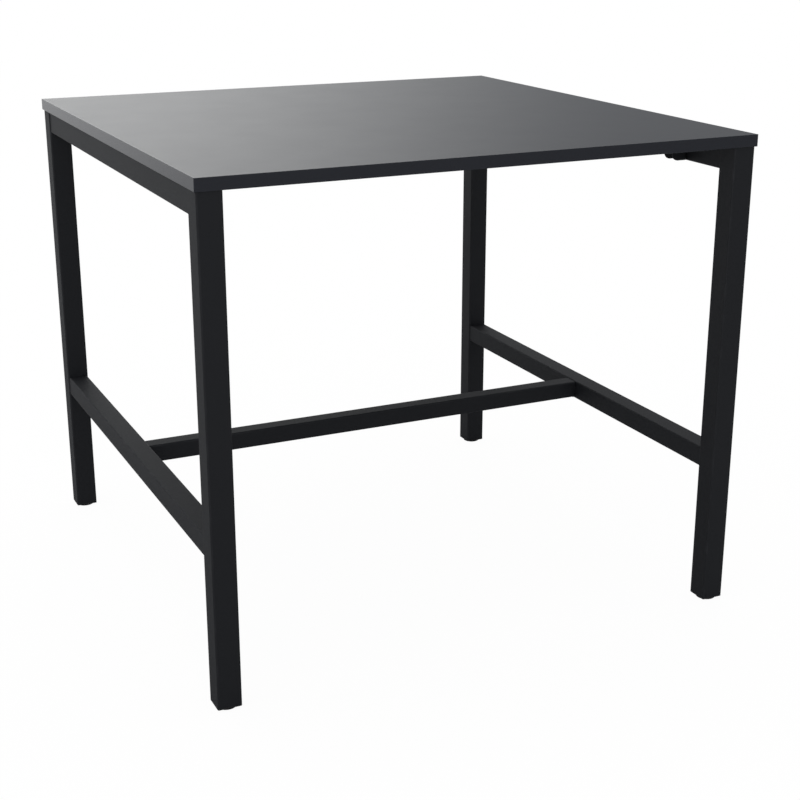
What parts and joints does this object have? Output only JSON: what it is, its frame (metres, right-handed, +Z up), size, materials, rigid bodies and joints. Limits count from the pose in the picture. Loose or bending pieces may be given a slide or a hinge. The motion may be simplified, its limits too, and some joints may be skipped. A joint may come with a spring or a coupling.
{
  "type": "pub table",
  "caption": "Square bar-height table: dark laminated top on black square-tube end frames joined by a low stretcher, with screw feet.",
  "frame": {"origin": "on the floor under the middle of the top", "axes": "+X to the right along the front edge, +Y to the back, +Z up; the end frames stand at the left and right"},
  "size_m": [1.2, 1.2, 1.045],
  "materials": {
    "laminate": "satin dark grey melamine laminate",
    "backer": "matt balancing sheet",
    "edge_band": "satin plastic edging",
    "chipboard": "raw chipboard",
    "frame_paint": "fine-textured black powder coat",
    "plug_plastic": "moulded black plastic",
    "pad_plastic": "moulded black plastic",
    "zinc_steel": "zinc-plated steel"
  },
  "bodies": {
    "table": {"bracket_back_left": "frame_paint", "bracket_back_right": "frame_paint", "bracket_front_left": "frame_paint", "bracket_front_right": "frame_paint", "cross_rail_left": "frame_paint", "cross_rail_right": "frame_paint", "edge_band_back": "edge_band", "edge_band_front": "edge_band", "edge_band_left": "edge_band", "edge_band_right": "edge_band", "leg_back_left": "frame_paint", "leg_back_right": "frame_paint", "leg_front_left": "frame_paint", "leg_front_right": "frame_paint", "plug_back_left": "plug_plastic", "plug_back_right": "plug_plastic", "plug_front_left": "plug_plastic", "plug_front_right": "plug_plastic", "plug_nuts": "zinc_steel", "stretcher": "frame_paint", "top_backer": "backer", "top_core": "chipboard", "top_laminate": "laminate", "top_rail_left": "frame_paint", "top_rail_right": "frame_paint", "top_screws": "zinc_steel"},
    "pad_front_left": {"foot_pad_front_left": "pad_plastic"},
    "stud_front_left": {"foot_stud_front_left": "zinc_steel"},
    "pad_back_left": {"foot_pad_back_left": "pad_plastic"},
    "stud_back_left": {"foot_stud_back_left": "zinc_steel"},
    "pad_front_right": {"foot_pad_front_right": "pad_plastic"},
    "stud_front_right": {"foot_stud_front_right": "zinc_steel"},
    "pad_back_right": {"foot_pad_back_right": "pad_plastic"},
    "stud_back_right": {"foot_stud_back_right": "zinc_steel"}
  },
  "joints": [
    {"name": "foot_lift_front_left", "type": "slide", "parent": "table", "child": "pad_front_left", "axis": [0, 0, -1], "range_m": [0, 0.015]},
    {"name": "foot_turn_front_left", "type": "hinge", "parent": "pad_front_left", "child": "stud_front_left", "pos_m": [-0.5715, -0.5715, 0.004], "axis": [0, 0, -1], "range_deg": [0, 4320]},
    {"name": "foot_lift_back_left", "type": "slide", "parent": "table", "child": "pad_back_left", "axis": [0, 0, -1], "range_m": [0, 0.015]},
    {"name": "foot_turn_back_left", "type": "hinge", "parent": "pad_back_left", "child": "stud_back_left", "pos_m": [-0.5715, 0.5715, 0.004], "axis": [0, 0, -1], "range_deg": [0, 4320]},
    {"name": "foot_lift_front_right", "type": "slide", "parent": "table", "child": "pad_front_right", "axis": [0, 0, -1], "range_m": [0, 0.015]},
    {"name": "foot_turn_front_right", "type": "hinge", "parent": "pad_front_right", "child": "stud_front_right", "pos_m": [0.5715, -0.5715, 0.004], "axis": [0, 0, -1], "range_deg": [0, 4320]},
    {"name": "foot_lift_back_right", "type": "slide", "parent": "table", "child": "pad_back_right", "axis": [0, 0, -1], "range_m": [0, 0.015]},
    {"name": "foot_turn_back_right", "type": "hinge", "parent": "pad_back_right", "child": "stud_back_right", "pos_m": [0.5715, 0.5715, 0.004], "axis": [0, 0, -1], "range_deg": [0, 4320]}
  ],
  "couplings": [
    {"joint": "foot_turn_front_left", "follows": "foot_lift_front_left", "rad_per_m": 5026.5},
    {"joint": "foot_turn_back_left", "follows": "foot_lift_back_left", "rad_per_m": 5026.5},
    {"joint": "foot_turn_front_right", "follows": "foot_lift_front_right", "rad_per_m": 5026.5},
    {"joint": "foot_turn_back_right", "follows": "foot_lift_back_right", "rad_per_m": 5026.5}
  ]
}
